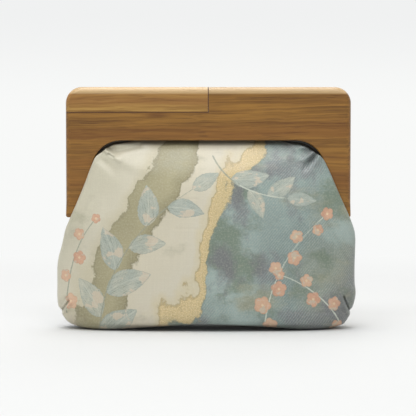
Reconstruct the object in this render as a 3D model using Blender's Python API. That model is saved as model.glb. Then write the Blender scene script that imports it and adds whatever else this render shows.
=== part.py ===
"""A clutch bag: a cloth pouch with a lining, hung in a wooden frame of two halves.

The two halves are the same board shape, turned half a turn about the vertical axis. Each is an arch with
two legs. Over its left half the top bar is cut down to a step, and over its right half it is full height
and twice as thick, so the closed halves interlock along an L-shaped line. They turn on two small brass
hinges in the ends of the legs and are held shut by magnets in their mating faces.

The pouch is two cloth panels, darted at the bottom corners and sewn together at the sides and along the
base. Above the hinges each panel's edge is glued in a groove in the inner edge of its own frame half.

Lengths are in metres, +Z is up, and -Y is the front. The origin is under the middle of the base, on the
surface that the bag stands on.
"""

import math

import bmesh
import bpy
import numpy as np
from mathutils import Matrix, Vector

MM = 0.001

# Gaps
RESTING_GAP = 0.3 * MM
MATING_GAP = 0.3 * MM
LAP_GAP = 0.4 * MM
PIN_CLEARANCE = 0.12 * MM
SCREW_CLEARANCE = 0.25 * MM

# Wooden frame
FRAME_WIDTH = 255.0 * MM
FRAME_TOP = 217.0 * MM
LEG_END = 100.5 * MM
BAR_HEIGHT = 47.7 * MM
HALF_THICKNESS = 12.0 * MM
LAP_HEIGHT = 22.5 * MM
CORNER_RADIUS = 11.0 * MM
LEG_CORNER_RADIUS = 1.8 * MM
LEG_TIP_WIDTH = 11.0 * MM
LEG_SLANT = 0.27
INNER_RADIUS = 25.5 * MM
TOP_ROUND_OVER = 5.0 * MM
INNER_ROUND_OVER = 1.0 * MM
TIP_ROUND_OVER = 0.8 * MM
ROUND_OVER_FADE = 14.0 * MM
ARC_STEPS = 8
ROUND_OVER_STEPS = 4

# Groove that the cloth is glued into
GROOVE_WIDTH = 4.4 * MM
GROOVE_DEPTH = 6.0 * MM
GROOVE_END_ABOVE_LEG = 6.0 * MM

# Hinges and magnets
OPENING_ANGLE = math.radians(40.0)
CHAMFER_SPARE = math.radians(3.0)
AXIS_ABOVE_LEG_END = 3.0 * MM
KNUCKLE_RADIUS = 1.9 * MM
PIN_RADIUS = 0.83 * MM
LEAF_WIDTH = 8.0 * MM
LEAF_HEIGHT = 12.5 * MM
LEAF_THICKNESS = 0.9 * MM
LEAF_SET_BACK = 0.1 * MM
END_KNUCKLE_LENGTH = 1.9 * MM
SCREW_HEAD_RADIUS = 1.7 * MM
SCREW_HEAD_DEPTH = 0.7 * MM
SCREW_SHANK_RADIUS = 0.75 * MM
SCREW_LENGTH = 7.0 * MM
SCREW_SPACING = 6.0 * MM
SLOT_WIDTH = 0.5 * MM
SLOT_DEPTH = 0.35 * MM
MAGNET_RADIUS = 5.0 * MM
MAGNET_THICKNESS = 2.5 * MM
MAGNET_SPACING = 140.0 * MM
MAGNET_BELOW_LAP = 10.5 * MM

# Cloth pouch
POUCH_HALF_WIDTH = 133.2 * MM
POUCH_HALF_DEPTH = 32.0 * MM
WIDEST_HEIGHT = 58.0 * MM
CLOTH_SLANT = 0.436
SIDE_CORNER_WIDTH = 22.0 * MM
SIDE_CORNER_HEIGHT = 30.0 * MM
BASE_CORNER_DEPTH = 17.0 * MM
BASE_CORNER_HEIGHT = 18.0 * MM
BASE_TAPER = 0.12
BASE_ARCH = 2.6 * MM
BASE_FLAT_FROM = 92.0 * MM
ARCH_FADE_HEIGHT = 15.0 * MM
OUTER_CLOTH = 1.6 * MM
LINING_CLOTH = 0.8 * MM
LINING_GAP = 0.8 * MM
CLOTH_IN_GROOVE = 5.0 * MM
SEAM_GAP = 0.3 * MM
SEAM_STRIP = 3.0 * MM
SHELF_BELOW_LEG = 0.6 * MM
SHELF_DROP = 2.4 * MM
LEG_FRONT_CLEARANCE = 0.4 * MM
MOUTH_CLEARANCE = 0.8 * MM

# Places that follow from the sizes above
FRAME_HALF_WIDTH = FRAME_WIDTH / 2
BAR_UNDERSIDE = FRAME_TOP - BAR_HEIGHT
LAP_LEVEL = FRAME_TOP - LAP_HEIGHT
TIP_INNER_X = FRAME_HALF_WIDTH - LEG_TIP_WIDTH
HINGE_Z = LEG_END + AXIS_ABOVE_LEG_END
HINGE_X = FRAME_HALF_WIDTH - LEG_TIP_WIDTH / 2
GROOVE_MIDDLE = HALF_THICKNESS / 2
LEAF_BACK = MATING_GAP / 2 + LEAF_SET_BACK
LEAF_FOOT = HINGE_Z + KNUCKLE_RADIUS + RESTING_GAP
CLOTH_SHELF = LEG_END - SHELF_BELOW_LEG
GROOVE_ENTRY = LEG_END + GROOVE_END_ABOVE_LEG + 0.7 * MM
FAR = 400.0 * MM


def clear_scene():
    for obj in list(bpy.data.objects):
        bpy.data.objects.remove(obj, do_unlink=True)


def new_collection(name, hidden=False):
    made = bpy.data.collections.new(name)
    bpy.context.scene.collection.children.link(made)
    made.hide_render = hidden
    return made


def material(name, colour, roughness, metallic=0.0):
    made = bpy.data.materials.new(name)
    made.use_nodes = True
    surface = made.node_tree.nodes["Principled BSDF"]
    surface.inputs["Base Color"].default_value = (*colour, 1.0)
    surface.inputs["Roughness"].default_value = roughness
    surface.inputs["Metallic"].default_value = metallic
    return made


def place(obj, collection, surface=None):
    for old in list(obj.users_collection):
        old.objects.unlink(obj)
    collection.objects.link(obj)
    if surface is not None:
        obj.data.materials.clear()
        obj.data.materials.append(surface)
    return obj


def object_from_bmesh(name, bm, collection, surface=None):
    bmesh.ops.recalc_face_normals(bm, faces=bm.faces)
    mesh = bpy.data.meshes.new(name)
    bm.to_mesh(mesh)
    bm.free()
    return place(bpy.data.objects.new(name, mesh), collection, surface)


def box(name, low, high, collection, surface=None):
    """A box between two corners."""
    low, high = Vector(low), Vector(high)
    bm = bmesh.new()
    bmesh.ops.create_cube(bm, size=1.0)
    bmesh.ops.scale(bm, vec=high - low, verts=bm.verts)
    bmesh.ops.translate(bm, vec=(low + high) / 2, verts=bm.verts)
    return object_from_bmesh(name, bm, collection, surface)


def rod(name, start, end, radius, collection, surface=None, sides=24):
    """A cylinder from start to end."""
    start, end = Vector(start), Vector(end)
    bm = bmesh.new()
    bmesh.ops.create_cone(
        bm, cap_ends=True, segments=sides, radius1=radius, radius2=radius, depth=(end - start).length
    )
    turn = (end - start).to_track_quat("Z", "Y").to_matrix().to_4x4()
    bmesh.ops.transform(bm, matrix=Matrix.Translation((start + end) / 2) @ turn, verts=bm.verts)
    return object_from_bmesh(name, bm, collection, surface)


def turned(name, centre, facing, profile, collection, surface=None, sides=16):
    """A turned piece on a line through centre along Y. profile lists (depth, radius) from end to end,
    and depth is measured towards the front for facing -1 or the back for facing 1."""
    bm = bmesh.new()
    centre = Vector(centre)
    points = [(profile[0][0], 0.0), *profile, (profile[-1][0], 0.0)]
    verts = [bm.verts.new(centre + Vector((radius, facing * depth, 0.0))) for depth, radius in points]
    edges = [bm.edges.new(pair) for pair in zip(verts, verts[1:])]
    bmesh.ops.spin(
        bm, geom=verts + edges, cent=centre, axis=(0.0, 1.0, 0.0), angle=math.tau, steps=sides
    )
    bmesh.ops.remove_doubles(bm, verts=bm.verts, dist=0.01 * MM)
    return object_from_bmesh(name, bm, collection, surface)


def settle_modifiers(obj):
    """Replaces the object's mesh by the one its modifiers make."""
    graph = bpy.context.evaluated_depsgraph_get()
    made = bpy.data.meshes.new_from_object(obj.evaluated_get(graph))
    obj.modifiers.clear()
    obj.data = made


def combine(obj, others, operation):
    """Booleans the object with each of the others, and keeps the result as its mesh."""
    for other in others:
        step = obj.modifiers.new(other.name, "BOOLEAN")
        step.operation = operation
        step.object = other
    bpy.context.view_layer.update()
    settle_modifiers(obj)
    return obj


def remove_helpers(helpers):
    for helper in helpers:
        bpy.data.objects.remove(helper, do_unlink=True)


def smooth_sharp(obj, angle=35.0):
    obj.data.shade_smooth()
    obj.data.set_sharp_from_angle(angle=math.radians(angle))


def half_turn_copy(obj, name, collection):
    """The same mesh again, turned half a turn about the vertical axis."""
    twin = bpy.data.objects.new(name, obj.data)
    twin.rotation_euler = (0.0, 0.0, math.pi)
    collection.objects.link(twin)
    return twin


def loft(rows, closed_rows=False):
    """A bmesh through rows of points with equal counts. Closed rows become rings with flat ends."""
    bm = bmesh.new()
    grid = [[bm.verts.new(point) for point in row] for row in rows]
    count = len(grid[0])
    for upper, lower in zip(grid, grid[1:]):
        for j in range(count if closed_rows else count - 1):
            k = (j + 1) % count
            bm.faces.new((upper[j], upper[k], lower[k], lower[j]))
    if closed_rows:
        bm.faces.new(grid[0])
        bm.faces.new(reversed(grid[-1]))
    return bm


# Wooden frame


def inner_edge_x(z):
    """Half the width of the opening between the legs at height z, along their slanted edges."""
    return TIP_INNER_X - LEG_SLANT * (z - LEG_END)


def inner_corner():
    """Centre of the opening's rounded upper corner, and the angle at which its arc meets the leg."""
    lean = math.atan(LEG_SLANT)
    centre_z = BAR_UNDERSIDE - INNER_RADIUS
    centre_x = inner_edge_x(centre_z) - INNER_RADIUS / math.cos(lean)
    return centre_x, centre_z, lean


def opening_x(z):
    """Half the width of the opening at height z, with its rounded upper corners."""
    centre_x, centre_z, lean = inner_corner()
    if z < centre_z + INNER_RADIUS * math.sin(lean):
        return inner_edge_x(z)
    rise = min(z - centre_z, INNER_RADIUS)
    return centre_x + math.sqrt(INNER_RADIUS**2 - rise**2)


def arc(centre, radius, start, end, steps=ARC_STEPS):
    """Points (x, z) on an arc, from one angle to another in degrees."""
    angles = np.radians(np.linspace(start, end, steps + 1))
    return [(centre[0] + radius * math.cos(a), centre[1] + radius * math.sin(a)) for a in angles]


def right_opening(widen, foot):
    """The right half of the opening's edge, from its foot up to the bar, moved into the wood by widen."""
    centre_x, centre_z, lean = inner_corner()
    slant_shift = widen / math.cos(lean)
    lower = (inner_edge_x(foot) + slant_shift, foot)
    return [lower, *arc((centre_x, centre_z), INNER_RADIUS + widen, math.degrees(lean), 90.0)]


def frame_outline():
    """(x, z, round-over) around the arch and its two legs, once round. Rounding is slight at the tips."""
    w, r, t = FRAME_HALF_WIDTH, CORNER_RADIUS, LEG_CORNER_RADIUS
    fade = LEG_END + ROUND_OVER_FADE
    outer = arc((w - t, LEG_END + t), t, -90, 0, 3)
    outer += [(w, fade)]
    outer += arc((w - r, FRAME_TOP - r), r, 0, 90)
    right = [(x, z, TOP_ROUND_OVER if z >= fade else TIP_ROUND_OVER) for x, z in outer]
    inner = [(x, z, INNER_ROUND_OVER) for x, z in right_opening(0.0, LEG_END)]
    left = [(-x, z, size) for x, z, size in reversed(right)]
    left_inner = [(-x, z, size) for x, z, size in inner]
    return right + left + left_inner + inner[::-1]


def inset_outline(outline, share):
    """The outline moved inwards at each point by share times that point's round-over."""
    points = np.array([(x, z) for x, z, _ in outline])
    amounts = np.array([size for _, _, size in outline]) * share
    before = points - np.roll(points, 1, axis=0)
    after = np.roll(points, -1, axis=0) - points
    before /= np.linalg.norm(before, axis=1)[:, None]
    after /= np.linalg.norm(after, axis=1)[:, None]
    left_of_path = (before + after)[:, ::-1] * (-1.0, 1.0)
    left_of_path /= np.linalg.norm(left_of_path, axis=1)[:, None]
    stretch = 1.0 / np.sqrt((1.0 + (before * after).sum(axis=1)) / 2.0)
    return points + left_of_path * (amounts * stretch)[:, None]


def closed_frame_blank(collection):
    """Both halves as one rounded block: the outline stacked from front to back, smaller near each face."""
    outline = frame_outline()
    sizes = np.array([size for _, _, size in outline])
    rings = []
    for side in (-1.0, 1.0):
        angles = np.linspace(0.0, math.pi / 2, ROUND_OVER_STEPS + 1)
        for angle in angles if side < 0 else angles[::-1]:
            points = inset_outline(outline, 1.0 - math.sin(angle))
            depths = side * (HALF_THICKNESS - sizes * (1.0 - math.cos(angle)))
            rings.append([(x, y, z) for (x, z), y in zip(points, depths)])
    return object_from_bmesh("closed_frame", loft(rings, closed_rows=True), collection)


def groove_cutter(collection):
    """A flat plate of the opening's shape, larger all round by the groove's depth."""
    foot = LEG_END + GROOVE_END_ABOVE_LEG
    right = right_opening(GROOVE_DEPTH, foot)
    outline = right + [(-x, z) for x, z in reversed(right)]
    rings = [[(x, -GROOVE_MIDDLE + y, z) for x, z in outline] for y in (-GROOVE_WIDTH / 2, GROOVE_WIDTH / 2)]
    return object_from_bmesh("groove_cutter", loft(rings, closed_rows=True), collection)


def tip_chamfer_cutter(side, collection):
    """Clears the lower inner corner of a leg, so that the halves can open by the opening angle."""
    bm = bmesh.new()
    bmesh.ops.create_cube(bm, size=1.0)
    size = 20.0 * MM
    bmesh.ops.scale(bm, vec=(2 * LEG_TIP_WIDTH, size, size), verts=bm.verts)
    bmesh.ops.translate(bm, vec=(0.0, size / 2, -size / 2), verts=bm.verts)
    lean = Matrix.Rotation(-(OPENING_ANGLE + CHAMFER_SPARE), 4, "X")
    bmesh.ops.transform(bm, matrix=lean, verts=bm.verts)
    bmesh.ops.translate(bm, vec=(side * HINGE_X, -MATING_GAP / 2, HINGE_Z), verts=bm.verts)
    return object_from_bmesh("tip_chamfer_cutter", bm, collection)


def screw_heights():
    middle = LEAF_FOOT + LEAF_HEIGHT / 2
    return middle - SCREW_SPACING / 2, middle + SCREW_SPACING / 2


def magnet_height():
    return LAP_LEVEL - MAGNET_BELOW_LAP


def frame_cutters(collection):
    """Everything that is cut from the block to leave the front half."""
    half_gap = MATING_GAP / 2
    half_lap = LAP_GAP / 2
    back = box(
        "mating_cutter", (-FAR, -half_gap, 0.0), (FAR, FAR, LAP_LEVEL + half_lap), collection
    )
    step = box(
        "lap_cutter", (-FAR, -FAR, LAP_LEVEL - half_lap), (half_lap, FAR, FAR), collection
    )
    cutters = [back, step, groove_cutter(collection)]
    relief = KNUCKLE_RADIUS + RESTING_GAP
    for side in (-1.0, 1.0):
        x = side * HINGE_X
        half_leaf = LEAF_WIDTH / 2 + RESTING_GAP
        leaf_floor = LEAF_BACK + LEAF_THICKNESS + RESTING_GAP
        cutters.append(tip_chamfer_cutter(side, collection))
        cutters.append(
            rod("barrel_cutter", (x - half_leaf, 0, HINGE_Z), (x + half_leaf, 0, HINGE_Z), relief, collection)
        )
        cutters.append(
            box(
                "leaf_cutter",
                (x - half_leaf, -leaf_floor, HINGE_Z),
                (x + half_leaf, HALF_THICKNESS, LEAF_FOOT + LEAF_HEIGHT + RESTING_GAP),
                collection,
            )
        )
        for z in screw_heights():
            bottom = LEAF_BACK + SCREW_LENGTH + RESTING_GAP
            pilot = SCREW_SHANK_RADIUS + SCREW_CLEARANCE
            cutters.append(rod("pilot_cutter", (x, 0, z), (x, -bottom, z), pilot, collection, sides=12))
        magnet_x = side * MAGNET_SPACING / 2
        pocket_floor = LEAF_BACK + MAGNET_THICKNESS + RESTING_GAP
        cutters.append(
            rod(
                "magnet_cutter",
                (magnet_x, 0, magnet_height()),
                (magnet_x, -pocket_floor, magnet_height()),
                MAGNET_RADIUS + RESTING_GAP,
                collection,
            )
        )
    return cutters


def build_frame_halves(bag, helpers, wood):
    front = closed_frame_blank(bag)
    front.name = "front_frame"
    cutters = frame_cutters(helpers)
    combine(front, cutters, "DIFFERENCE")
    remove_helpers(cutters)
    place(front, bag, wood)
    smooth_sharp(front)
    half_turn_copy(front, "back_frame", bag)


# Hinges, screws and magnets


def knuckle_gaps(face):
    """Where a leaf's barrel is cut away along the pin. The front leaf keeps both ends, the back the middle."""
    half = LEAF_WIDTH / 2
    inner = half - END_KNUCKLE_LENGTH
    if face < 0:
        return [(-inner, inner)]
    return [(-half - MM, RESTING_GAP - inner), (inner - RESTING_GAP, half + MM)]


def leaf_outline(face):
    """(y, z) around a leaf seen from the side: a flat plate with its foot rolled round the pin."""
    near, far = LEAF_BACK, LEAF_BACK + LEAF_THICKNESS
    top = LEAF_FOOT + LEAF_HEIGHT
    start = math.degrees(math.acos(near / KNUCKLE_RADIUS))
    end = 360.0 + math.degrees(math.acos(far / KNUCKLE_RADIUS))
    rolled = arc((0.0, HINGE_Z), KNUCKLE_RADIUS, start, end, 22)
    return [(face * y, z) for y, z in [(near, top), *rolled, (far, top)]]


def build_leaf(name, x, face, bag, helpers, brass):
    """One hinge leaf. face is -1 for the front half's leaf and 1 for the back half's."""
    half = LEAF_WIDTH / 2
    rings = [[(x + end, y, z) for y, z in leaf_outline(face)] for end in (-half, half)]
    leaf = object_from_bmesh(name, loft(rings, closed_rows=True), bag)
    start, end = (x - LEAF_WIDTH, 0, HINGE_Z), (x + LEAF_WIDTH, 0, HINGE_Z)
    cutters = [rod("bore_cutter", start, end, PIN_RADIUS + PIN_CLEARANCE, helpers)]
    reach = KNUCKLE_RADIUS + MM
    for left, right in knuckle_gaps(face):
        low = (x + left, -reach, HINGE_Z - reach)
        cutters.append(box("gap_cutter", low, (x + right, reach, LEAF_FOOT), helpers))
    spare = 0.2 * MM
    narrow = SCREW_SHANK_RADIUS + SCREW_CLEARANCE
    slope = (SCREW_HEAD_RADIUS - SCREW_SHANK_RADIUS) / SCREW_HEAD_DEPTH
    wide = narrow + slope * (SCREW_HEAD_DEPTH + spare)
    sunk = [(-spare, wide), (SCREW_HEAD_DEPTH, narrow), (LEAF_THICKNESS + spare, narrow)]
    for z in screw_heights():
        cutters.append(turned("sink_cutter", (x, face * LEAF_BACK, z), face, sunk, helpers))
    combine(leaf, cutters, "DIFFERENCE")
    remove_helpers(cutters)
    place(leaf, bag, brass)
    smooth_sharp(leaf)


def build_screw(name, x, z, face, bag, helpers, steel):
    """A slotted countersunk screw with a blunt point."""
    head, shank = SCREW_HEAD_RADIUS, SCREW_SHANK_RADIUS
    profile = [
        (0.0, head), (SCREW_HEAD_DEPTH, shank), (SCREW_LENGTH - MM, shank), (SCREW_LENGTH, shank / 3)
    ]
    screw = turned(name, (x, face * LEAF_BACK, z), face, profile, bag)
    near, far = sorted((face * (LEAF_BACK - MM), face * (LEAF_BACK + SLOT_DEPTH)))
    half = SLOT_WIDTH / 2
    slot = box("slot_cutter", (x - half, near, z - 2 * head), (x + half, far, z + 2 * head), helpers)
    combine(screw, [slot], "DIFFERENCE")
    remove_helpers([slot])
    place(screw, bag, steel)
    smooth_sharp(screw)


def build_hinges(bag, helpers, brass, steel):
    faces = {"front": -1.0, "back": 1.0}
    for hand, side in (("left", -1.0), ("right", 1.0)):
        x = side * HINGE_X
        half = LEAF_WIDTH / 2
        pin = rod(
            f"hinge_pin_{hand}", (x - half, 0, HINGE_Z), (x + half, 0, HINGE_Z), PIN_RADIUS, bag, steel
        )
        smooth_sharp(pin)
        for word, face in faces.items():
            build_leaf(f"hinge_leaf_{word}_{hand}", x, face, bag, helpers, brass)
            for place_word, z in zip(("lower", "upper"), screw_heights()):
                name = f"hinge_screw_{word}_{hand}_{place_word}"
                build_screw(name, x, z, face, bag, helpers, steel)


def build_magnets(bag, steel):
    for word, face in (("front", -1.0), ("back", 1.0)):
        for hand, side in (("left", -1.0), ("right", 1.0)):
            x = side * MAGNET_SPACING / 2
            z = magnet_height()
            start = (x, face * LEAF_BACK, z)
            end = (x, face * (LEAF_BACK + MAGNET_THICKNESS), z)
            magnet = rod(f"magnet_{word}_{hand}", start, end, MAGNET_RADIUS, bag, steel)
            smooth_sharp(magnet)


# Cloth pouch


def quarter(share):
    """1 at share 0, falling along a quarter of an ellipse to 0 at share 1."""
    return math.sqrt(max(0.0, 1.0 - share**2))


def cloth_half_width(z, inset):
    """Half the pouch's width at height z: rounded corners, upright sides, then a curve into a straight slant."""
    widest = POUCH_HALF_WIDTH - inset
    if z < SIDE_CORNER_HEIGHT:
        share = (SIDE_CORNER_HEIGHT - z) / (SIDE_CORNER_HEIGHT - inset)
        return widest - (SIDE_CORNER_WIDTH - inset) * (1.0 - quarter(min(share, 1.0)))
    if z < WIDEST_HEIGHT:
        return widest
    rise = HINGE_Z - WIDEST_HEIGHT
    drop = CLOTH_SLANT * rise / 2
    if z < HINGE_Z:
        return widest - drop * ((z - WIDEST_HEIGHT) / rise) ** 2
    return widest - drop - CLOTH_SLANT * (z - HINGE_Z)


def groove_front():
    """How far in front of the middle plane the outer cloth's face lies inside the groove."""
    return GROOVE_MIDDLE + GROOVE_WIDTH / 2 - RESTING_GAP


def cloth_half_depth(z, inset):
    """Half the pouch's depth on its middle line at height z: a rounded foot, then a bulge up to the groove."""
    deepest = POUCH_HALF_DEPTH - inset
    if z < BASE_CORNER_HEIGHT:
        share = (BASE_CORNER_HEIGHT - z) / (BASE_CORNER_HEIGHT - inset)
        return deepest - (BASE_CORNER_DEPTH - inset) * (1.0 - quarter(min(share, 1.0)))
    if z < WIDEST_HEIGHT:
        return deepest
    top = groove_front() - inset
    share = min(1.0, (z - WIDEST_HEIGHT) / (BAR_UNDERSIDE - WIDEST_HEIGHT))
    return top + (deepest - top) * (1.0 - share**2.2)


def fold_depth(z, inset):
    """How far forward the bulge starts at the pouch's side: by the seam low down, by the leg's face above."""
    deepest = cloth_half_depth(z, inset)
    glued = groove_front() - inset
    over_leg = min(HALF_THICKNESS + LEG_FRONT_CLEARANCE - inset, glued + 0.5 * (deepest - glued))
    at_seam = SEAM_GAP / 2 + SEAM_STRIP
    share = min(1.0, max(0.0, (z - WIDEST_HEIGHT) / (CLOTH_SHELF - WIDEST_HEIGHT)))
    return at_seam + (over_leg - at_seam) * share * share * (3.0 - 2.0 * share)


def bulge(width, depth, edge_depth, columns, squareness=3.0):
    """(x, depth) from the middle to the side, along a quarter of a squared-off ellipse."""
    angles = np.linspace(0.0, math.pi / 2, columns)
    across = width * np.sin(angles) ** (2.0 / squareness)
    forward = edge_depth + (depth - edge_depth) * np.cos(angles)
    return list(zip(across, forward))


def section(z, inset, columns):
    """(x, depth) of the cloth at height z, from the middle to its sewn edge, or to its glued edge higher up."""
    depth, fold = cloth_half_depth(z, inset), fold_depth(z, inset)
    if z < CLOTH_SHELF - inset - SHELF_DROP / 2:
        width = cloth_half_width(z, inset)
        seam = SEAM_GAP / 2
        wall = [(width, seam + (fold - seam) * share) for share in (0.75, 0.5, 0.25, 0.0)]
        return bulge(width, depth, fold, columns) + wall
    glued = groove_front() - inset
    if z > BAR_UNDERSIDE - RESTING_GAP:
        width = inner_corner()[0]
        return bulge(width, depth, glued, columns) + [(width + k * MM, glued) for k in (1, 2, 3, 4)]
    width = opening_x(z) - MOUTH_CLEARANCE - inset
    wall = [(width, glued + (fold - glued) * share) for share in (0.6, 0.3, 0.0)]
    if z > GROOVE_ENTRY:
        return bulge(width, depth, fold, columns) + wall + [(width + inset + CLOTH_IN_GROOVE, glued)]
    return bulge(width, depth, fold, columns) + wall + [(width, glued - MM)]


def heights(inset, fine):
    """Heights of the pouch's sections, from the base up to the cloth's edge in the groove."""
    foot = [
        BASE_CORNER_HEIGHT - (BASE_CORNER_HEIGHT - inset) * math.sin(angle)
        for angle in np.linspace(math.pi / 2, 0.0, 5 if fine else 4)
    ]
    shelf = CLOTH_SHELF - inset
    body = list(np.linspace(BASE_CORNER_HEIGHT, shelf - SHELF_DROP, 9 if fine else 6))[1:]
    centre_z = inner_corner()[1]
    entry = [shelf, GROOVE_ENTRY - 0.3 * MM, GROOVE_ENTRY + 0.3 * MM]
    legs = entry + list(np.linspace(GROOVE_ENTRY + 7 * MM, centre_z + 4 * MM, 5 if fine else 3))
    rise = [INNER_RADIUS * math.sin(a) for a in np.radians([30, 45, 58, 69, 79])]
    corner = [centre_z + r for r in (rise if fine else rise[1::2])]
    top = [BAR_UNDERSIDE, BAR_UNDERSIDE + CLOTH_IN_GROOVE]
    return foot + body + legs + corner + top


def arch_lift(x, z):
    """How far the middle of the base is drawn up off the surface."""
    share = max(0.0, 1.0 - (x / BASE_FLAT_FROM) ** 2)
    return BASE_ARCH * share**1.5 * math.exp(-z / ARCH_FADE_HEIGHT)


def panel_surface(inset, columns, fine):
    """Rows of points over a front panel: the sections from top to foot, then the base in to its seam."""
    rows = []
    for z in reversed(heights(inset, fine)):
        half = section(z, inset, columns)
        whole = [(-x, y) for x, y in reversed(half)] + half[1:]
        rows.append([(x, -y, z) for x, y in whole])
    seam = SEAM_GAP / 2
    foot = rows[-1]
    for share in (0.5, 1.0):
        shrink = 1.0 - BASE_TAPER * share
        rows.append([(x * shrink, -seam + (y + seam) * (1.0 - share), z) for x, y, z in foot])
    return [[(x, y, z + arch_lift(x, z - inset)) for x, y, z in row] for row in rows]


def around(grid):
    """The points on the border of a grid, once round."""
    left = [row[0] for row in grid[1:-1]]
    right = [row[-1] for row in grid[1:-1]]
    return grid[0] + right + grid[-1][::-1] + left[::-1]


def build_panel(name, inset, thickness, columns, fine, bag, surface):
    """A cloth panel between two surfaces a thickness apart, closed along its border."""
    bm = bmesh.new()
    grids = []
    for depth in (inset, inset + thickness):
        rows = panel_surface(depth, columns, fine)
        grids.append([[bm.verts.new(point) for point in row] for row in rows])
    for grid in grids:
        for upper, lower in zip(grid, grid[1:]):
            for j in range(len(upper) - 1):
                bm.faces.new((upper[j], upper[j + 1], lower[j + 1], lower[j]))
    outer, inner = (around(grid) for grid in grids)
    for j in range(len(outer)):
        k = (j + 1) % len(outer)
        bm.faces.new((outer[j], outer[k], inner[k], inner[j]))
    bmesh.ops.remove_doubles(bm, verts=bm.verts, dist=0.02 * MM)
    panel = object_from_bmesh(name, bm, bag, surface)
    panel.data.shade_smooth()
    return panel


def build_pouch(bag, print_cloth, lining_cloth):
    front = build_panel("outer_front_panel", 0.0, OUTER_CLOTH, 8, True, bag, print_cloth)
    half_turn_copy(front, "outer_back_panel", bag)
    inset = OUTER_CLOTH + LINING_GAP
    lining = build_panel("lining_front_panel", inset, LINING_CLOTH, 6, False, bag, lining_cloth)
    half_turn_copy(lining, "lining_back_panel", bag)


def main():
    clear_scene()
    bag = new_collection("clutch_bag")
    helpers = new_collection("cutters", hidden=True)
    wood = material("wood", (0.26, 0.135, 0.05), 0.45)
    print_cloth = material("print_cloth", (0.42, 0.41, 0.33), 0.7)
    lining_cloth = material("lining_cloth", (0.52, 0.47, 0.37), 0.75)
    brass = material("brass", (0.71, 0.49, 0.2), 0.35, 1.0)
    steel = material("steel", (0.56, 0.56, 0.55), 0.35, 1.0)
    build_frame_halves(bag, helpers, wood)
    build_hinges(bag, helpers, brass, steel)
    build_magnets(bag, steel)
    build_pouch(bag, print_cloth, lining_cloth)


main()
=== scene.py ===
"""A clutch bag: a printed cloth pouch with a lining, hung in a wooden frame of two interlocking halves."""

import math

import bmesh
import bpy
import numpy as np
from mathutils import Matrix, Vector


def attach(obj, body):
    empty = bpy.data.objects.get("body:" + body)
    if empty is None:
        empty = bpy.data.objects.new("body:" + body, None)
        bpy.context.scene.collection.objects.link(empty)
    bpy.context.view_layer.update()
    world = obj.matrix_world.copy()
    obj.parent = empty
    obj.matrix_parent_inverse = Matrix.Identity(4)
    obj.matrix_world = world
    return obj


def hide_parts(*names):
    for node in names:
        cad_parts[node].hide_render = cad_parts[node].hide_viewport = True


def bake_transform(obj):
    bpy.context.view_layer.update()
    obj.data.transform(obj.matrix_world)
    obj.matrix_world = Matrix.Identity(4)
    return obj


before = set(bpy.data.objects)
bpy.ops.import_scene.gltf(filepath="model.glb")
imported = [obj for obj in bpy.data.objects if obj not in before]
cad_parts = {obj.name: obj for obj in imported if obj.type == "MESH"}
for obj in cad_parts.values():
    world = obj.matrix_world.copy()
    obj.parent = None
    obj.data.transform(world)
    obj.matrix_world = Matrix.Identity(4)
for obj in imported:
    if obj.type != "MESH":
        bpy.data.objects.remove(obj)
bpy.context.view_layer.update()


# Wooden frame
# Two arch-shaped halves sawn from a close-grained brown hardwood, with the grain along the top bar.
# The left half of the bar steps down on one board and up on the other, so that the boards lock together.
# The outer edges are rounded over, and the wood is sanded and finished with a satin oil.

MM = 0.001
BAR_TOP = 217.0 * MM
HALF_WIDTH = 127.5 * MM
HALF_DEPTH = 12.0 * MM
# The level seam between the two boards of the bar
SEAM = 194.5 * MM
# The upper corners' radius in the solids, and the photographed one
SOLID_RADIUS, ROUNDED_RADIUS = 11.0 * MM, 14.5 * MM


def fill(tree, node, inputs):
    """Fills in a node's inputs. Each is a value or another node's output."""
    for name, value in inputs.items():
        if isinstance(value, bpy.types.NodeSocket):
            tree.links.new(value, node.inputs[name])
        else:
            node.inputs[name].default_value = value


def shade(tree, kind, inputs=(), **settings):
    """A shader node with its settings and inputs filled in."""
    made = tree.nodes.new("ShaderNode" + kind)
    for name, value in settings.items():
        setattr(made, name, value)
    fill(tree, made, dict(inputs))
    return made


def maths(tree, operation, first, second=0.0, third=0.0):
    """One sum on numbers that change over the surface."""
    return shade(tree, "Math", {0: first, 1: second, 2: third}, operation=operation).outputs[0]


def times(tree, first, second):
    """One number times another."""
    return maths(tree, "MULTIPLY", first, second)


def linear(tree, value, slope, start):
    """The value times slope, plus start."""
    return maths(tree, "MULTIPLY_ADD", value, slope, start)


def vectors(tree, operation, first, second=(0.0, 0.0, 0.0), output=0):
    """One sum on two sets of coordinates or colours."""
    return shade(tree, "VectorMath", {0: first, 1: second}, operation=operation).outputs[output]


def stretched(tree, vector, scale, offset=(0.0, 0.0, 0.0), turn=(0.0, 0.0, 0.0)):
    """Coordinates that are turned, stretched and moved before a pattern reads them."""
    inputs = {"Vector": vector, "Scale": scale, "Location": offset, "Rotation": turn}
    return shade(tree, "Mapping", inputs).outputs["Vector"]


def noise(tree, vector, scale=1.0, detail=2.0, roughness=0.5, output="Fac"):
    """Cloudy noise on these coordinates."""
    inputs = {"Vector": vector, "Scale": scale, "Detail": detail, "Roughness": roughness}
    return shade(tree, "TexNoise", inputs).outputs[output]


def drift(tree, vector, scale, reach, **settings):
    """A shift that wanders over the surface, by up to half of reach to either side."""
    cloud = noise(tree, stretched(tree, vector, scale), output="Color", **settings)
    return vectors(tree, "MULTIPLY", vectors(tree, "SUBTRACT", cloud, (0.5, 0.5, 0.5)), reach)


def between(tree, value, low, high, bottom=0.0, top=1.0):
    """The value's place from low to high, smoothed at both ends, as a number from bottom to top."""
    inputs = {"Value": value, "From Min": low, "From Max": high, "To Min": bottom, "To Max": top}
    return shade(tree, "MapRange", inputs, interpolation_type="SMOOTHSTEP").outputs["Result"]


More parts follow.
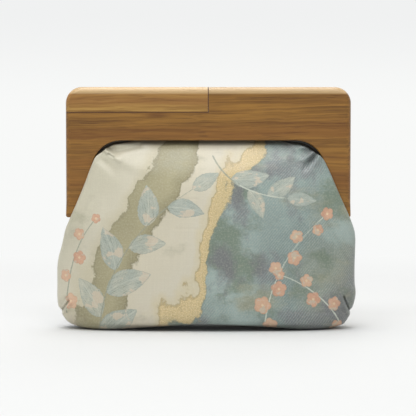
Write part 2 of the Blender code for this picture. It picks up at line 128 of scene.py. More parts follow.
def mixed(tree, share, first, second, blend="MIX"):
    """Two colours mixed by a share from 0 to 1."""
    inputs = {0: share, 6: first, 7: second}
    return shade(tree, "Mix", inputs, data_type="RGBA", blend_type=blend).outputs[2]


def paint(red, green, blue):
    """A colour read as 0 to 255 values, as the shader's linear light."""
    parts = (np.array([red, green, blue]) / 255.0 + 0.055) / 1.055
    return (*(parts**2.4).tolist(), 1.0)


def new_group(name, sockets_in, sockets_out):
    """An empty node group with these named inputs and outputs, and its two end nodes."""
    group = bpy.data.node_groups.new(name, "ShaderNodeTree")
    for in_out, sockets in (("INPUT", sockets_in), ("OUTPUT", sockets_out)):
        for label, kind in sockets.items():
            group.interface.new_socket(label, in_out=in_out, socket_type="NodeSocket" + kind)
    start, end = group.nodes.new("NodeGroupInput"), group.nodes.new("NodeGroupOutput")
    return group, start.outputs, end.inputs


def wood_grain_group():
    """Long fibre streaks, broad bands of growth, pores as short dark dashes, and a ripple across them."""
    group, given, made = new_group(
        "wood_grain",
        {"Vector": "Vector", "Pale": "Color", "Deep": "Color", "Red": "Color"},
        {"Color": "Color", "Roughness": "Float", "Height": "Float"},
    )
    place = given["Vector"]
    shift = drift(group, place, (9.0, 14.0, 14.0), (0.0, 0.008, 0.008), detail=3.0)
    ripple = noise(group, stretched(group, place, (110.0, 70.0, 70.0)))
    ripple = shade(group, "CombineXYZ", {"Z": linear(group, ripple, 0.5 * MM, -0.25 * MM)}).outputs[0]
    grain = vectors(group, "ADD", vectors(group, "ADD", place, shift), ripple)

    def streaks(scale, offset=(0.0, 0.0, 0.0), **settings):
        """Noise drawn out along the grain."""
        return noise(group, stretched(group, grain, scale, offset), **settings)

    bands = streaks((1.6, 48.0, 75.0), detail=2.5, roughness=0.55)
    red_bands = streaks((1.4, 36.0, 52.0), (0.3, 0.7, 0.1), detail=1.5)
    lines = streaks((7.0, 260.0, 330.0), (0.1, 0.2, 0.9), detail=3.0, roughness=0.6)
    fibres = streaks((13.0, 560.0, 640.0), detail=4.0, roughness=0.62)
    fine = streaks((60.0, 2400.0, 2400.0))
    pores = between(group, streaks((34.0, 900.0, 1150.0), (0.2, 0.5, 0.4), detail=1.0), 0.62, 0.72)
    tone = linear(group, between(group, bands, 0.3, 0.7), 0.24, -0.09)
    tone = linear(group, between(group, lines, 0.38, 0.62), 0.36, tone)
    tone = linear(group, between(group, fibres, 0.36, 0.64), 0.38, tone)
    tone = linear(group, fine, 0.20, tone)
    colour = mixed(group, tone, given["Pale"], given["Deep"])
    colour = mixed(group, between(group, red_bands, 0.45, 0.70, 0.0, 0.5), colour, given["Red"])
    dark = mixed(group, 1.0, colour, (0.50, 0.43, 0.36, 1.0), "MULTIPLY")
    height = linear(group, fibres, 0.5, times(group, fine, 0.3))
    gloss = linear(group, fibres, 0.16, 0.30)
    group.links.new(mixed(group, times(group, pores, 0.6), colour, dark), made["Color"])
    group.links.new(linear(group, pores, 0.2, gloss), made["Roughness"])
    group.links.new(linear(group, pores, -0.9, height), made["Height"])
    return group


def new_finish(name):
    """A material, its node tree and its shader."""
    material = bpy.data.materials.new(name)
    material.use_nodes = True
    tree = material.node_tree
    return material, tree, tree.nodes["Principled BSDF"]


def bump(tree, height, strength, distance):
    """A normal that follows a fine height over the surface."""
    inputs = {"Height": height, "Strength": strength, "Distance": distance}
    return shade(tree, "Bump", inputs).outputs[0]


def add_object(name, data):
    """A new object in the scene."""
    made = bpy.data.objects.new(name, data)
    bpy.context.scene.collection.objects.link(made)
    return made


def oiled_wood(name, side, offset, pale, deep, red, knot=None):
    """Satin oiled wood, with painted shade where the two boards meet, and a top edge that is glossier and painted
    paler as a highlight. A knot is an eye of darker wood in the grain. The two halves are one shape turned half a
    turn, so side, 1 or -1, turns the joint's lines with them."""
    material, tree, shader = new_finish(name)
    place = shade(tree, "TexCoord").outputs["Object"]
    moved = stretched(tree, place, (1.0, 1.0, 1.0), offset, (0.0, math.radians(0.8), 0.0))
    inputs = {"Vector": moved, "Pale": pale, "Deep": deep, "Red": red}
    grain = shade(tree, "Group", inputs, node_tree=wood_grain)
    colour = grain.outputs["Color"]
    if knot:
        away = vectors(tree, "MULTIPLY", vectors(tree, "SUBTRACT", place, knot), (75.0, 60.0, 420.0))
        away = vectors(tree, "LENGTH", away, output="Value")
        dark = mixed(tree, 1.0, colour, (0.55, 0.42, 0.33, 1.0), "MULTIPLY")
        colour = mixed(tree, between(tree, away, 1.3, 0.2, 0.0, 0.75), colour, dark)
    x, y, z = shade(tree, "SeparateXYZ", {0: place}).outputs
    off_x, off_y = maths(tree, "ABSOLUTE", x), maths(tree, "ABSOLUTE", y)
    # Painted shade along the seams: across the bar, and level between its boards, which shows on one side of the step
    # only
    across = between(tree, off_x, 0.7 * MM, 0.2 * MM)
    across = times(tree, across, maths(tree, "GREATER_THAN", z, SEAM - 0.5 * MM))
    level = maths(tree, "ABSOLUTE", maths(tree, "SUBTRACT", z, SEAM))
    stepped = maths(tree, "LESS_THAN", times(tree, x, side), 0.3 * MM)
    behind = maths(tree, "GREATER_THAN", times(tree, y, side), 0.1 * MM)
    level = times(tree, between(tree, level, 0.6 * MM, 0.2 * MM), maths(tree, "MAXIMUM", stepped, behind))
    joint = maths(tree, "MAXIMUM", across, level)
    # The painted shade lies at the outside only, so that the faces of an open joint are not darkened
    rim = maths(tree, "GREATER_THAN", off_y, HALF_DEPTH - 1.5 * MM)
    rim = maths(tree, "MAXIMUM", rim, maths(tree, "GREATER_THAN", z, BAR_TOP - 1.5 * MM))
    rim = maths(tree, "MAXIMUM", rim, maths(tree, "GREATER_THAN", off_x, HALF_WIDTH - 1.3 * MM))
    joint = times(tree, joint, rim)
    # Painted highlight: the top rounded edge is painted paler, most towards the front and back faces; its coat is
    # glossier too
    top_gloss_and_highlight = between(tree, z, BAR_TOP - 7.0 * MM, BAR_TOP - 4.8 * MM)
    highlight_strength = between(tree, off_y, 7.0 * MM, 10.0 * MM, 0.30, 0.74)
    colour = mixed(tree, times(tree, top_gloss_and_highlight, highlight_strength), colour, paint(203, 174, 130))
    # Painted shade: the seams darkened to a deep brown
    colour = mixed(tree, times(tree, joint, 0.88), colour, paint(62, 33, 28))
    inputs = {
        "Base Color": colour,
        "Roughness": linear(tree, joint, 0.4, grain.outputs["Roughness"]),
        "Specular IOR Level": 0.30,
        "Coat Weight": linear(tree, top_gloss_and_highlight, 0.10, 0.25),
        "Coat Roughness": 0.24,
        "Normal": bump(tree, grain.outputs["Height"], 0.35, 0.4 * MM),
    }
    fill(tree, shader, inputs)
    return material


def cad_copy(name, node):
    """A CAD node's mesh under a name of its own, with its points merged and its flat faces whole again."""
    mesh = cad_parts[node].data.copy()
    mesh.name = name
    mesh.materials.clear()
    work = bmesh.new()
    work.from_mesh(mesh)
    bmesh.ops.remove_doubles(work, verts=work.verts, dist=0.004 * MM)
    bmesh.ops.dissolve_limit(work, angle_limit=math.radians(0.4), verts=work.verts, edges=work.edges)
    work.to_mesh(mesh)
    work.free()
    for layer in list(mesh.uv_layers):
        mesh.uv_layers.remove(layer)
    return add_object(name, mesh)


def close_joint(mesh):
    """The boards meet more closely than their solids: the joint's faces move to within a tenth of a millimetre."""
    points = np.zeros(len(mesh.vertices) * 3)
    mesh.vertices.foreach_get("co", points)
    points = points.reshape(-1, 3)
    near = 0.4 * MM
    upright = (np.abs(points[:, 0]) < near) & (points[:, 2] > SEAM - 0.5 * MM)
    level = np.abs(points[:, 2] - SEAM) < near
    points[upright, 0] *= 0.05
    points[level, 2] = SEAM + 0.3 * (points[level, 2] - SEAM)
    points[np.abs(points[:, 1]) < near, 1] *= 0.1
    mesh.vertices.foreach_set("co", points.reshape(-1))
    mesh.update()


def ease_corners(mesh, old, new):
    """Round the frame's two upper corners further, from radius old to radius new. From the new centre, a point
    at angle a moves by new / reach(a), where reach(a) is how far the old outline is from there."""
    work = bmesh.new()
    work.from_mesh(mesh)
    for share in np.linspace(1.0, 0.0, 8):
        cut = float(old + (new - old) * share)
        for place, along in (
            ((cut - HALF_WIDTH, 0, BAR_TOP), (1, 0, 0)),
            ((HALF_WIDTH - cut, 0, BAR_TOP), (1, 0, 0)),
            ((0, 0, BAR_TOP - cut), (0, 0, 1)),
        ):
            everything = work.verts[:] + work.edges[:] + work.faces[:]
            bmesh.ops.bisect_plane(work, geom=everything, dist=1e-6, plane_co=place, plane_no=along)
    centre_x, centre_z, small = HALF_WIDTH - new, BAR_TOP - new, new - old
    for vert in work.verts:
        dx, dz = abs(vert.co.x) - centre_x, vert.co.z - centre_z
        if dx <= 0.0 or dz <= 0.0:
            continue
        angle = math.atan2(dz, dx)
        ahead = small * (math.cos(angle) + math.sin(angle))
        reach = ahead + math.sqrt(ahead**2 - 2 * small**2 + old**2)
        if reach * math.sin(angle) < small:
            reach = new / math.cos(angle)
        elif reach * math.cos(angle) < small:
            reach = new / math.sin(angle)
        share = 1.0 + (new / reach - 1.0) * min(1.0, 1.3 * math.hypot(dx, dz) / reach)
        vert.co.x = math.copysign(centre_x + dx * share, vert.co.x)
        vert.co.z = centre_z + dz * share
    work.to_mesh(mesh)
    work.free()
    mesh.shade_smooth()
    mesh.set_sharp_from_angle(angle=math.radians(32.0))


wood_grain = wood_grain_group()
front_wood = oiled_wood(
    "oiled_wood_front",
    side=1.0,
    offset=(0.013, 0.004, 0.031),
    pale=paint(157, 113, 47),
    deep=paint(97, 61, 15),
    red=paint(128, 81, 31),
    knot=(-0.0460, -0.012, 0.1922),
)
back_wood = oiled_wood(
    "oiled_wood_back",
    side=-1.0,
    offset=(0.41, 0.22, 0.017),
    pale=paint(182, 142, 74),
    deep=paint(122, 84, 33),
    red=paint(146, 98, 52),
)
for word, finish in (("front", front_wood), ("back", back_wood)):
    half = cad_copy(f"wooden_frame_{word}", f"{word}_frame")
    close_joint(half.data)
    ease_corners(half.data, SOLID_RADIUS, ROUNDED_RADIUS)
    half.data.materials.append(finish)
    edges = half.modifiers.new("eased_edges", "BEVEL")
    edges.width = 0.25 * MM
    edges.segments = 2
    edges.limit_method = "ANGLE"
    edges.angle_limit = math.radians(50.0)
    normals = half.modifiers.new("shading", "WEIGHTED_NORMAL")
    normals.keep_sharp = True
    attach(half, f"{word}_half")
    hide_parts(f"{word}_frame")


# Hinges, screws and magnets
# A small brass butt hinge is let into the mating faces of each pair of legs, with two slotted steel screws
# to a leaf and a steel pin. Two nickel-plated disc magnets are pressed into each half's bar.


def worn_metal(name, colour, rough, streak):
    """Brushed metal: faint lines one way, finger-dulled patches, and a few darker specks."""
    material, tree, shader = new_finish(name)
    place = shade(tree, "TexCoord").outputs["Object"]
    brushed = noise(tree, stretched(tree, place, streak), detail=3.0)
    dull = noise(tree, place, scale=260.0, detail=3.0)
    specks = between(tree, noise(tree, place, scale=1900.0, detail=1.0), 0.66, 0.74)
    darker = tuple(0.62 * c for c in colour[:3]) + (1.0,)
    tint = mixed(tree, between(tree, dull, 0.35, 0.7, 0.0, 0.4), colour, darker)
    tint = mixed(tree, times(tree, specks, 0.6), tint, (0.06, 0.045, 0.03, 1.0))
    gloss = linear(tree, dull, 0.16, linear(tree, brushed, 0.14, rough))
    normal = bump(tree, brushed, 0.15, 0.05 * MM)
    fill(tree, shader, {"Base Color": tint, "Roughness": gloss, "Metallic": 1.0, "Normal": normal})
    return material


brass = worn_metal("hinge_brass", (0.72, 0.50, 0.22, 1.0), 0.22, (300.0, 300.0, 9000.0))
screw_steel = worn_metal("screw_steel", (0.55, 0.55, 0.54, 1.0), 0.24, (6000.0, 300.0, 300.0))
magnet_plate = worn_metal("magnet_nickel", (0.66, 0.65, 0.61, 1.0), 0.12, (400.0, 400.0, 400.0))
for node_name, cad_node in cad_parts.items():
    if node_name.startswith(("hinge", "magnet")):
        plated = {"hinge_l": brass, "hinge_s": screw_steel, "hinge_p": screw_steel, "magnet_": magnet_plate}
        cad_node.data.materials.clear()
        cad_node.data.materials.append(plated[node_name[:7]])


# Outer cloth
# Two panels of printed cotton sateen, darted at the bottom corners and sewn together at the sides and along
# the base. Above the hinges each panel's edge runs out over the leg, turns under and is glued in the groove
# round the opening. The cloth pinches into small folds where the groove rounds the upper corners.

BAR_UNDERSIDE = 169.3 * MM
GROOVE_ENTRY = 107.3 * MM
LEG_END = 100.5 * MM
POUCH_HALF_DEPTH = 32.0 * MM
# Where the bulge is deepest, where the rounded foot begins, and where the edge starts to overlap the legs
WIDEST, FOOT_TOP, OVERLAP_FOOT = 58.0 * MM, 18.0 * MM, 101.3 * MM
# The rows lie closer between these heights, for the bend at the hinges
BEND_TOP, BEND_FOOT = 109.0 * MM, 96.5 * MM
# How far in front of the middle plane the panels are sewn together
SEAM_DEPTH = 0.15 * MM
# How far the opening's sides slant in for each millimetre of height
LEG_SLANT = 0.27
CORNER_X, CORNER_Z, CORNER_RADIUS = 78.4 * MM, 143.8 * MM, 25.5 * MM
# Height and half width of the pouch's outline on each side, up to the ends of the legs
LEFT_OUTLINE = np.array(
    [(0, 110), (0.7, 115), (2.3, 120), (4, 124), (6, 127.2), (9.1, 129.9), (12, 131.4), (14.6, 132.5)]
    + [(15.7, 132.4), (17, 133.7), (19.5, 135.3), (22.5, 136.0), (26, 136.3), (40, 136.3), (60, 135.7)]
    + [(65.7, 134.6), (71, 133.0), (76.5, 131.4), (81.9, 130.1), (87.3, 128.8), (92.7, 127.0), (98, 124.6)]
    + [(101.3, 123.3), (104, 122.1)]
) * MM
RIGHT_OUTLINE = np.array(
    [(0, 108), (0.7, 112.4), (2.3, 117.2), (3.4, 120.9), (6.4, 124.2), (10.2, 126.5), (14.5, 128.2)]
    + [(15.7, 127.6), (17, 128.9), (19.1, 130.4), (22, 131.3), (26, 132.3), (33, 133.0), (40, 132.2)]
    + [(50, 131.9), (60, 132.0), (71, 132.1), (82, 131.9), (87.3, 131.2), (92.7, 129.6), (98, 127.6)]
    + [(101.3, 126.3), (104, 125.4)]
) * MM
# Height, and how far the cloth's edge runs out past the edge of the opening, from the legs' ends up
LEFT_OVERLAP = np.array(
    [(101.3, 7.0), (110, 5.4), (119.7, 3.8), (131, 2.2), (143.7, 0.9), (150, 0.0), (156, -0.8), (162, -0.9)]
)
RIGHT_OVERLAP = np.array(
    [(101.3, 10.0), (110, 8.4), (119.7, 6.6), (131, 4.7), (143.1, 2.7), (149.8, 1.2), (155, -0.4), (160, -0.9)]
)


def smoothstep(low, high, value):
    """0 below low, 1 above high, with no corner between."""
    share = np.clip((value - low) / (high - low), 0.0, 1.0)
    return share * share * (3.0 - 2.0 * share)


def curve_through(table, at):
    """A smooth curve through a table's points: cubic pieces that share their slopes where they meet."""
    place, value = np.asarray(table, float).T
    slope = np.gradient(value, place)
    at = np.clip(at, place[0], place[-1])
    k = np.clip(np.searchsorted(place, at) - 1, 0, len(place) - 2)
    span = place[k + 1] - place[k]
    t = (at - place[k]) / span
    rise = value[k] * (1 + 2 * t) * (1 - t) ** 2 + value[k + 1] * t * t * (3 - 2 * t)
    return rise + span * t * (1 - t) * (slope[k] * (1 - t) - slope[k + 1] * t)


def opening_half_width(z):
    """Half the frame's opening at height z: slanted legs, then the rounded upper corner."""
    leg = 116.5 * MM - LEG_SLANT * (z - LEG_END)
    rise = np.clip(z - CORNER_Z, 0.0, CORNER_RADIUS)
    corner = CORNER_X + np.sqrt(CORNER_RADIUS**2 - rise**2)
    return np.where(z < CORNER_Z + 6.64 * MM, leg, corner)


def outline_half_width(z, outline, overlap):
    """Half the pouch's width on one side: its own outline low down, the opening's edge and overlap above."""
    above = opening_half_width(z) + curve_through(overlap * MM, z)
    return np.where(z < OVERLAP_FOOT, curve_through(outline, z), above)


def middle_depth(z, inset):
    """How far forward the cloth stands on its middle line: a rounded foot, the full bulge, then in to the bar,
    by 1 - exp(-drop / 25 mm), so that the cloth leans back most just below it, where it is tucked in."""
    lean, ease, tuck = 25.0 * MM, 4.0 * MM, 1.6 * MM
    deepest = POUCH_HALF_DEPTH - inset
    foot = np.clip((FOOT_TOP - z) / (FOOT_TOP - inset), 0.0, 1.0)
    low = deepest - (17.0 * MM - inset) * (1.0 - (1.0 - foot**3.4) ** (1 / 3.4))
    drop = np.clip(BAR_UNDERSIDE - z, 0.0, 1.0)
    top = 6.0 * MM - inset
    full = 1.0 - np.exp(-(np.hypot(drop, ease) - ease) / lean)
    # It is full 107.4 mm down, where the lower curve takes over
    full = full / (1.0 - math.exp(-107.4 / 25.0))
    bulge = np.where(z < WIDEST, low, top + (deepest - top) * full)
    tucked = np.exp(-drop / tuck)
    return bulge - np.maximum(top - glued_depth(inset), 0.0) * tucked


def glued_depth(inset):
    """How far in front of the middle plane the cloth is glued, with the lining behind the outer cloth."""
    return (5.0 - 0.3 * inset / MM) * MM


def side_depth(z, overlap, inset):
    """How far forward the bulge starts at the side: near the seam low down, over the leg's face higher up."""
    glued = glued_depth(inset)
    in_opening = glued + 0.55 * (middle_depth(z, inset) - glued)
    on_wood = smoothstep(-1.2 * MM, -0.3 * MM, curve_through(overlap * MM, z))
    over_leg = in_opening + (13.4 * MM - inset - in_opening) * on_wood
    at_seam = 3.2 * MM
    return at_seam + (over_leg - at_seam) * smoothstep(WIDEST, LEG_END - 0.6 * MM, z)


def section_heights(inset, rows):
    """Heights of the rows, from the groove in the bar down to the foot; rows gives how many in each stretch."""
    groove, corner, leg, hinge, body, foot = rows
    turn = np.linspace(math.pi / 2, math.atan(LEG_SLANT), corner)
    round_corner = CORNER_Z + CORNER_RADIUS * np.sin(turn)
    quarter = np.linspace(0.0, math.pi / 2, foot)
    return np.concatenate(
        [
            np.linspace(BAR_UNDERSIDE + 5.0 * MM, BAR_UNDERSIDE + 0.4 * MM, groove),
            round_corner,
            np.linspace(round_corner[-1], BEND_TOP, leg + 1)[1:],
            np.linspace(BEND_TOP, BEND_FOOT, hinge + 1)[1:],
            np.linspace(BEND_FOOT, FOOT_TOP, body + 1)[1:],
            FOOT_TOP - (FOOT_TOP - inset) * np.sin(quarter)[1:],
        ]
    )


def ridge(x, z, points, height, spread, fade=0.0):
    """A soft ridge, or a crease if height is below 0, along a line of points (x, z): height * exp(-(d/spread)^2),
    where the height falls by the share fade from the line's start to its end."""
    nearest, run = np.full(x.shape, 1.0), np.zeros(x.shape)
    for i, ((x0, z0), (x1, z1)) in enumerate(zip(points, points[1:])):
        dx, dz = (x1 - x0) * MM, (z1 - z0) * MM
        t = np.clip(((x - x0 * MM) * dx + (z - z0 * MM) * dz) / (dx * dx + dz * dz), 0.0, 1.0)
        distance = np.hypot(x - x0 * MM - t * dx, z - z0 * MM - t * dz)
        run = np.where(distance < nearest, (i + t) / (len(points) - 1), run)
        nearest = np.minimum(nearest, distance)
    return height * MM * (1.0 - fade * run) * np.exp(-((nearest / (spread * MM)) ** 2))


# The folds: points (x, z) on each in mm, its height (below 0 for a crease), its spread, and how far it fades out
FOLDS = [
    # Left corner: a pinched ridge from the tip, a small crease in it, a hollow above and a fuller belly below
    ([(-94.0, 163.0), (-89.8, 158.9), (-85.8, 155.7), (-79.0, 151.6)], 4.4, 2.1, 0.8),
    ([(-89.2, 157.2), (-84.6, 154.4)], -2.0, 0.8),
    ([(-89.5, 162.6), (-82.0, 160.2), (-73.0, 161.8), (-62.0, 164.5)], -3.6, 2.8, 0.6),
    ([(-78.0, 152.0), (-66.0, 146.0), (-50.0, 141.0)], 1.8, 5.5, 0.8),
    ([(-96.0, 152.5), (-88.0, 146.0), (-80.0, 137.0)], -1.8, 3.6, 0.9),
    # Right corner: a sharper ridge, a deep crease under it, and a flap that starts again beside the wood
    ([(97.0, 160.8), (92.4, 158.0), (88.8, 155.3), (84.0, 151.6)], 6.0, 1.8, 0.7),
    ([(97.6, 158.6), (92.6, 153.4), (88.0, 148.4), (84.6, 143.4)], -6.5, 1.7, 0.85),
    ([(99.5, 156.6), (95.5, 149.0), (90.0, 139.5)], 2.8, 3.6, 0.7),
    ([(92.6, 161.4), (87.0, 159.6), (78.0, 158.0)], -3.4, 2.2, 0.7),
    ([(86.5, 165.0), (83.0, 163.0)], 1.6, 2.6),
    ([(76.0, 156.0), (60.0, 149.0), (40.0, 146.0)], 1.0, 6.0, 0.8),
]
# Darts at the bottom corners: a deep line, fuller below it, drawn in on the side above it
for dart in ([(-125.2, 25.4), (-128.6, 20.4), (-134.0, 13.6)], [(121.2, 29.4), (124.0, 22.6), (129.0, 13.0)]):
    hand = np.sign(dart[0][0])
    FOLDS += [
        (dart, -4.2, 0.9, 0.15),
        ([(px - 2.2 * hand, pz - 1.2) for px, pz in dart], 1.6, 2.1),
        ([(px + 2.4 * hand, pz + 1.6) for px, pz in dart], -1.8, 2.4),
    ]
FOLDS += [
    # Long faint creases below the ends of the legs
    ([(102.3, 101.7), (112.0, 84.0), (123.9, 61.2)], -0.6, 1.4),
    ([(105.5, 101.7), (115.5, 84.0), (127.0, 62.0)], 0.5, 2.2),
    ([(-104.0, 118.0), (-112.0, 96.0), (-121.0, 76.0)], -0.6, 3.0),
    # Faint creases across, where the cloth had been folded before it was sewn
    ([(-36.0, 118.4), (-9.0, 117.8)], -0.28, 0.55),
    ([(-30.0, 91.4), (8.0, 91.8)], -0.2, 0.55),
]


def lifted(x, z):
    """How far the cloth stands off its plain bulge, forward: every fold, and a slack of slow waves crossing."""
    slack = np.sin(41 * x + 23 * z + 0.4) * np.sin(29 * z - 17 * x + 1.1)
    slack += 0.6 * np.sin(83 * x - 47 * z + 2.0) * np.sin(61 * z + 31 * x)
    slack += 0.25 * np.sin(190 * x + 60 * z) * np.sin(120 * z - 75 * x + 0.7)
    return sum(ridge(x, z, *fold) for fold in FOLDS) + 0.6 * MM * slack


def corner_void(x, z):
    """1 where the cloth stands clear of the rounded corner, behind the wood's shadow, falling to 0 inside."""
    off = np.abs(x)
    corner = CORNER_RADIUS - np.hypot(off - CORNER_X, z - CORNER_Z)
    away = np.where((off > CORNER_X) & (z > CORNER_Z), corner, BAR_UNDERSIDE - z)
    there = smoothstep(60.0 * MM, 84.0 * MM, off) * smoothstep(153.0 * MM, 161.0 * MM, z)
    reach = np.where(x < 0, 2.6, 3.4) * MM * there + 1e-6
    return (1.0 - smoothstep(0.6, 1.4, away / reach)) * np.clip(there * 5.0, 0.0, 1.0)


def half_section(z, inset, outline, overlap, columns, wall_columns):
    """Distances (across, forward) for one side of every row, from the middle out to the sewn or glued edge."""
    width = (outline_half_width(z, outline, overlap) - inset)[:, None]
    depth, fold = middle_depth(z, inset)[:, None], side_depth(z, overlap, inset)[:, None]
    q = np.linspace(0.0, 1.0, columns)[None, :]
    share = 0.35 * q + 0.65 * np.sin(q * math.pi / 2)
    across = width * share
    forward = fold + (depth - fold) * np.sqrt(np.clip(1.0 - share**3, 0.0, 1.0))
    # Below the legs the side runs straight back to the seam, a little drawn in along the stitches
    k = np.linspace(0.0, 1.0, wall_columns + 1)[None, 1:]
    wall_across = width - 1.0 * MM * k**3
    wall_forward = fold + (SEAM_DEPTH - fold) * k
    # Over the legs it turns under round a small radius up to k = 0.3, comes back to the opening up to 0.6, goes
    # down to where it is glued up to 0.8, and then into the groove
    opening = opening_half_width(z)[:, None] - 0.9 * MM - inset
    inner = np.minimum(opening, width)
    curl = np.clip(width - inner, 0.0, 1.2 * MM)
    under = fold - curl
    glued = glued_depth(inset)
    turn = np.clip(k / 0.3, 0.0, 1.0) * math.pi / 2
    back = smoothstep(0.3, 0.6, k)
    down = smoothstep(0.6, 0.8, k)
    into = smoothstep(0.8, 1.0, k) * smoothstep(GROOVE_ENTRY, GROOVE_ENTRY + 0.6 * MM, z)[:, None]
    leg_across = width - curl * (1.0 - np.cos(turn))
    leg_across = leg_across + (inner - (width - curl)) * back + (5.0 * MM + inset) * into
    leg_forward = fold - (fold - under) * np.sin(turn) + (glued - under) * down
    upper = smoothstep(97.4 * MM, 100.2 * MM, z)[:, None]
    wall_across = wall_across + (leg_across - wall_across) * upper
    wall_forward = wall_forward + (leg_forward - wall_forward) * upper
    # How much of the folds reaches each point: all of it in front, none at the seam or in the groove
    held = SEAM_DEPTH + (glued - SEAM_DEPTH) * upper
    loose = np.clip((wall_forward - held) / (fold - held), 0.0, 1.0)
    loose = np.hstack([np.ones(forward.shape), loose])
    return np.hstack([across, wall_across]), np.hstack([forward, wall_forward]), loose


def pouch_surface(inset, rows, columns, wall_columns):
    """The front panel as rows of points (x, y, z): its sections, its folds, then the base in to its seam."""
    z = section_heights(inset, rows[:6])
    left = half_section(z, inset, LEFT_OUTLINE, LEFT_OVERLAP, columns, wall_columns)
    right = half_section(z, inset, RIGHT_OUTLINE, RIGHT_OVERLAP, columns, wall_columns)
    x = np.hstack([-left[0][:, :0:-1], right[0]])
    forward = np.hstack([left[1][:, :0:-1], right[1]])
    height = np.repeat(z[:, None], x.shape[1], axis=1)
    loose = np.hstack([left[2][:, :0:-1], right[2]])
    loose = loose * smoothstep(BAR_UNDERSIDE + 0.5 * MM, BAR_UNDERSIDE - 3.0 * MM, height)
    forward = forward + lifted(x, height) * loose
    void = corner_void(x, height)
    forward = forward + (1.4 * MM - 0.3 * inset - forward) * void
    # The base runs in to its seam, a little narrower there, and arches off the floor along its middle
    shares = np.linspace(0.0, 1.0, rows[6] + 1)[1:, None]
    x = np.vstack([x, x[-1:] * (1.0 - 0.12 * shares)])
    forward = np.vstack([forward, SEAM_DEPTH + (forward[-1:] - SEAM_DEPTH) * (1.0 - shares)])
    height = np.vstack([height, np.repeat(height[-1:], rows[6], axis=0)])
    arch = np.clip(1.0 - (x / (92.0 * MM)) ** 2, 0.0, 1.0) ** 1.5
    height = height + 4.8 * MM * arch * np.exp(-(height - inset) / (11.0 * MM))
    return np.stack([x, -forward, height], axis=-1)


def flat_lengths(points):
    """Where each point lies on the flat cloth: the length along its row from the middle, and down the middle."""
    middle = points.shape[1] // 2
    steps = np.linalg.norm(np.diff(points, axis=1), axis=2)
    along = np.concatenate([np.zeros((len(points), 1)), np.cumsum(steps, axis=1)], axis=1)
    along -= along[:, middle : middle + 1]
    drops = np.linalg.norm(np.diff(points[:, middle], axis=0), axis=1)
    down = np.concatenate([[0.0], np.cumsum(drops)])
    return along, down


def sheet_mesh(name, points, flip):
    """A mesh of four-sided faces over a grid of points, with the flat cloth's own lengths as its UV map."""
    rows, columns = points.shape[:2]
    number = np.arange(rows * columns).reshape(rows, columns)
    corners = [number[:-1, :-1], number[1:, :-1], number[1:, 1:], number[:-1, 1:]]
    faces = np.stack(corners[::-1] if flip else corners, axis=-1).reshape(-1, 4)
    mesh = bpy.data.meshes.new(name)
    mesh.vertices.add(rows * columns)
    mesh.vertices.foreach_set("co", points.reshape(-1).astype(np.float32))
    mesh.loops.add(faces.size)
    mesh.loops.foreach_set("vertex_index", faces.reshape(-1).astype(np.int32))
    mesh.polygons.add(len(faces))
    mesh.polygons.foreach_set("loop_start", np.arange(0, faces.size, 4, dtype=np.int32))
    mesh.update(calc_edges=True)
    mesh.validate()
    mesh.shade_smooth()
    return mesh, faces


def weave_group():
    """Threads over and under each other. Height and tone change from thread to thread, with a few thick ones."""
    group, given, made = new_group(
        "weave", {"Vector": "Vector", "Thread": "Float"}, {"Height": "Float", "Tone": "Float"}
    )
    parts = shade(group, "SeparateXYZ", {0: given["Vector"]}).outputs
    slub_u = noise(group, stretched(group, given["Vector"], (1400.0, 40.0, 1.0)), detail=1.0)
    slub_v = noise(group, stretched(group, given["Vector"], (40.0, 1400.0, 1.0), (3.0, 1.0, 0.0)), detail=1.0)
    pace = maths(group, "DIVIDE", math.pi, given["Thread"])
    warp = maths(group, "SINE", times(group, parts[0], pace))
    weft = maths(group, "SINE", times(group, parts[1], pace))
    over = between(group, times(group, warp, weft), -0.25, 0.25)
    upright = times(group, maths(group, "ABSOLUTE", warp), over)
    level = times(group, maths(group, "ABSOLUTE", weft), maths(group, "SUBTRACT", 1.0, over))
    height = maths(group, "ADD", upright, level)
    slubs = maths(group, "ADD", slub_u, slub_v)
    group.links.new(linear(group, slubs, 0.35, height), made["Height"])
    group.links.new(linear(group, slubs, 0.34, linear(group, height, 0.16, 0.16)), made["Tone"])
    return group


weave = weave_group()


def leaf_distances(u, v, leaves):
    """For pointed leaves (x, y, angle, length, width, bend): distance to the nearest outline, below 0 inside,
    with that leaf's lengths along and across its midrib, and a tone of its own."""
    nearest = np.full(u.shape, 1.0)
    along_all, across_all, tone = np.zeros(u.shape), np.zeros(u.shape), np.zeros(u.shape)
    for i, (x, y, angle, length, width, bend) in enumerate(leaves):
        turn = math.radians(angle)
        dx, dy = u - x * MM, v - y * MM
        along = (dx * math.cos(turn) + dy * math.sin(turn)) / (length * MM)
        across = (dy * math.cos(turn) - dx * math.sin(turn)) / (length * MM)
        t = np.clip(along, 0.0, 1.0)
        across = across - bend * np.sin(math.pi * t)
        half = 0.5 * width / length * np.sin(math.pi * t**0.82) ** 0.85 * (1.06 - 0.12 * t)
        beyond = np.abs(along - t)
        gap = np.abs(across) - half
        distance = np.where(beyond > 0, np.hypot(beyond, np.maximum(gap, 0.0)), gap) * length * MM
        closer = distance < nearest
        nearest = np.where(closer, distance, nearest)
        along_all, across_all = np.where(closer, along, along_all), np.where(closer, across, across_all)
        tone = np.where(closer, (0.37 + 0.618 * i) % 1.0, tone)
    return nearest, along_all, across_all, tone


def stem_points(start, bend, end, count=40):
    """Points on a stem: (1-t)^2 start + 2t(1-t) bend + t^2 end."""
    t = np.linspace(0.0, 1.0, count)[:, None]
    a, b, c = (np.array(p, float) for p in (start, bend, end))
    return (1 - t) ** 2 * a + 2 * t * (1 - t) * b + t * t * c


